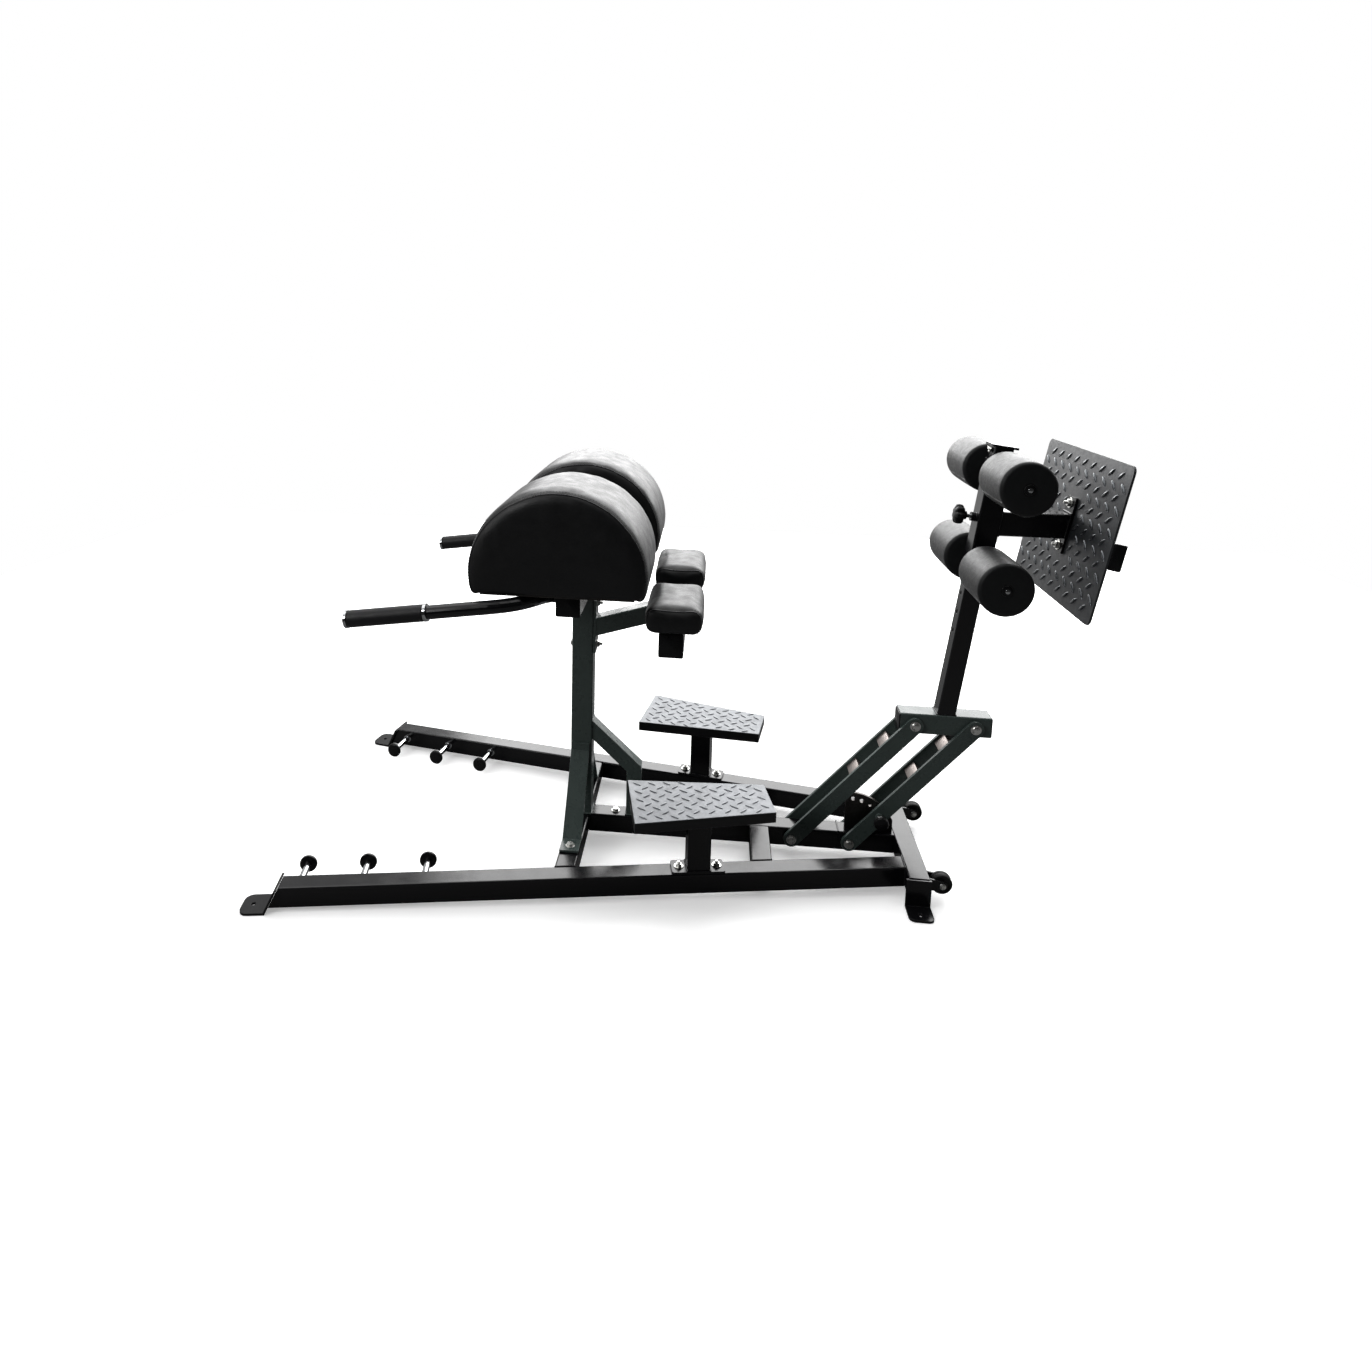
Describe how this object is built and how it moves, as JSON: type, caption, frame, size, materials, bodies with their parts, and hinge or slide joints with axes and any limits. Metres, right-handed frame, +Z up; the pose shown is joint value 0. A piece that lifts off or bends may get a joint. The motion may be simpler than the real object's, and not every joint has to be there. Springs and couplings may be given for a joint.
{
  "type": "roman chair",
  "caption": "Glute-ham roman chair with split thigh pads, seat pads, foot steps, and a parallel-link rear post carrying ankle rollers and a foot plate.",
  "frame": {"origin": "centre of the bounding box, on the floor", "axes": "+X toward the foot plate and rear, +Y to the right of a user facing -X, +Z up"},
  "size_m": [1.9586, 0.905, 1.096],
  "materials": {
    "band_peg_left_1": "bright chrome",
    "band_peg_left_2": "bright chrome",
    "band_peg_left_3": "bright chrome",
    "band_peg_right_1": "bright chrome",
    "band_peg_right_2": "bright chrome",
    "band_peg_right_3": "bright chrome",
    "base_rail_left": "gloss black powder coat",
    "base_rail_right": "gloss black powder coat",
    "brace": "semi-gloss slate green powder coat",
    "carriage": "semi-gloss slate green powder coat",
    "foot_arm": "gloss black powder coat",
    "foot_back_tube": "gloss black powder coat",
    "foot_plate": "diamond tread plate, charcoal",
    "foot_strap_left": "semi-gloss slate green powder coat",
    "foot_strap_right": "semi-gloss slate green powder coat",
    "front_crossbar": "gloss black powder coat",
    "front_foot_left": "gloss black powder coat",
    "front_foot_right": "gloss black powder coat",
    "front_link": "semi-gloss slate green powder coat",
    "grip_left": "matte black closed-cell foam",
    "grip_right": "matte black closed-cell foam",
    "handle_left": "gloss black powder coat",
    "handle_right": "gloss black powder coat",
    "height_pin": "gloss black powder coat",
    "lock_pin": "gloss black powder coat",
    "mid_crossbar_left": "gloss black powder coat",
    "mid_crossbar_right": "gloss black powder coat",
    "pad_cross_tube": "gloss black powder coat",
    "pivot_bolt_high_front": "zinc plated",
    "pivot_bolt_high_rear": "zinc plated",
    "pivot_bolt_low_front": "zinc plated",
    "pivot_bolt_low_rear": "zinc plated",
    "rear_crossmember": "gloss black powder coat",
    "rear_foot_left": "gloss black powder coat",
    "rear_foot_right": "gloss black powder coat",
    "rear_link": "semi-gloss slate green powder coat",
    "rear_post": "gloss black powder coat",
    "roller_lower_left": "matte black closed-cell foam",
    "roller_lower_right": "matte black closed-cell foam",
    "roller_upper_left": "matte black closed-cell foam",
    "roller_upper_right": "matte black closed-cell foam",
    "seat_arm": "semi-gloss slate green powder coat",
    "seat_cross_tube": "gloss black powder coat",
    "seat_pad_left": "black pebbled vinyl over foam",
    "seat_pad_right": "black pebbled vinyl over foam",
    "sector_plate": "zinc plated",
    "sleeve": "gloss black powder coat",
    "spine_tube": "gloss black powder coat",
    "step_post_left": "gloss black powder coat",
    "step_post_right": "gloss black powder coat",
    "step_tread_left": "diamond tread plate, light",
    "step_tread_right": "diamond tread plate, light",
    "thigh_board_left": "black-stained plywood",
    "thigh_board_right": "black-stained plywood",
    "thigh_pad_left": "black pebbled vinyl over foam",
    "thigh_pad_right": "black pebbled vinyl over foam",
    "upright": "semi-gloss slate green powder coat",
    "wheel_left": "matte black rubber",
    "wheel_right": "matte black rubber"
  },
  "bodies": {
    "frame": {"band_peg_left_1": "band_peg_left_1", "band_peg_left_2": "band_peg_left_2", "band_peg_left_3": "band_peg_left_3", "band_peg_right_1": "band_peg_right_1", "band_peg_right_2": "band_peg_right_2", "band_peg_right_3": "band_peg_right_3", "base_rail_left": "base_rail_left", "base_rail_right": "base_rail_right", "brace": "brace", "foot_strap_left": "foot_strap_left", "foot_strap_right": "foot_strap_right", "front_crossbar": "front_crossbar", "front_foot_left": "front_foot_left", "front_foot_right": "front_foot_right", "grip_left": "grip_left", "grip_right": "grip_right", "handle_left": "handle_left", "handle_right": "handle_right", "mid_crossbar_left": "mid_crossbar_left", "mid_crossbar_right": "mid_crossbar_right", "pad_cross_tube": "pad_cross_tube", "pivot_bolt_low_front": "pivot_bolt_low_front", "pivot_bolt_low_rear": "pivot_bolt_low_rear", "rear_crossmember": "rear_crossmember", "rear_foot_left": "rear_foot_left", "rear_foot_right": "rear_foot_right", "seat_arm": "seat_arm", "seat_cross_tube": "seat_cross_tube", "seat_pad_left": "seat_pad_left", "seat_pad_right": "seat_pad_right", "sector_plate": "sector_plate", "spine_tube": "spine_tube", "step_post_left": "step_post_left", "step_post_right": "step_post_right", "step_tread_left": "step_tread_left", "step_tread_right": "step_tread_right", "thigh_board_left": "thigh_board_left", "thigh_board_right": "thigh_board_right", "thigh_pad_left": "thigh_pad_left", "thigh_pad_right": "thigh_pad_right", "upright": "upright"},
    "front_link": {"front_link": "front_link"},
    "rear_link": {"rear_link": "rear_link"},
    "carriage": {"carriage": "carriage", "rear_post": "rear_post", "pivot_bolt_high_front": "pivot_bolt_high_front", "pivot_bolt_high_rear": "pivot_bolt_high_rear"},
    "sleeve": {"sleeve": "sleeve", "foot_arm": "foot_arm", "foot_plate": "foot_plate", "foot_back_tube": "foot_back_tube"},
    "height_pin": {"height_pin": "height_pin"},
    "lock_pin": {"lock_pin": "lock_pin"},
    "roller_upper_left": {"roller_upper_left": "roller_upper_left"},
    "roller_upper_right": {"roller_upper_right": "roller_upper_right"},
    "roller_lower_left": {"roller_lower_left": "roller_lower_left"},
    "roller_lower_right": {"roller_lower_right": "roller_lower_right"},
    "wheel_left": {"wheel_left": "wheel_left"},
    "wheel_right": {"wheel_right": "wheel_right"}
  },
  "joints": [
    {"name": "linkage_swing", "type": "hinge", "parent": "frame", "child": "front_link", "pos_m": [0.318, 0, 0.04569], "axis": [0, 1, 0], "range_deg": [-36, 12]},
    {"name": "rear_link_swing", "type": "hinge", "parent": "frame", "child": "rear_link", "pos_m": [0.464, 0, 0.04702], "axis": [0, 1, 0], "range_deg": [-36, 12]},
    {"name": "carriage_level", "type": "hinge", "parent": "front_link", "child": "carriage", "pos_m": [0.61, 0, 0.37769], "axis": [0, 1, 0], "range_deg": [-12, 36]},
    {"name": "sleeve_slide", "type": "slide", "parent": "carriage", "child": "sleeve", "axis": [0.1305, 0, 0.9914], "range_m": [-0.291, 0]},
    {"name": "height_pin_pull", "type": "slide", "parent": "sleeve", "child": "height_pin", "axis": [-0.9914, 0, 0.1305], "range_m": [-0.01, 0.006]},
    {"name": "lock_pin_pull", "type": "slide", "parent": "rear_link", "child": "lock_pin", "axis": [0, -1, 0], "range_m": [-0.01, 0.006]},
    {"name": "roller_upper_left_spin", "type": "hinge", "parent": "sleeve", "child": "roller_upper_left", "pos_m": [0.76823, 0, 1.023], "axis": [0, 1, 0], "continuous": true},
    {"name": "roller_upper_right_spin", "type": "hinge", "parent": "sleeve", "child": "roller_upper_right", "pos_m": [0.76823, 0, 1.023], "axis": [0, 1, 0], "continuous": true},
    {"name": "roller_lower_left_spin", "type": "hinge", "parent": "sleeve", "child": "roller_lower_left", "pos_m": [0.73821, 0, 0.795], "axis": [0, 1, 0], "continuous": true},
    {"name": "roller_lower_right_spin", "type": "hinge", "parent": "sleeve", "child": "roller_lower_right", "pos_m": [0.73821, 0, 0.795], "axis": [0, 1, 0], "continuous": true},
    {"name": "wheel_left_spin", "type": "hinge", "parent": "frame", "child": "wheel_left", "pos_m": [0.664, -0.159, 0.042], "axis": [0, 1, 0], "continuous": true},
    {"name": "wheel_right_spin", "type": "hinge", "parent": "frame", "child": "wheel_right", "pos_m": [0.664, 0.159, 0.042], "axis": [0, 1, 0], "continuous": true}
  ],
  "couplings": [
    {"joint": "rear_link_swing", "follows": "linkage_swing", "ratio": 1},
    {"joint": "carriage_level", "follows": "linkage_swing", "ratio": -1}
  ]
}
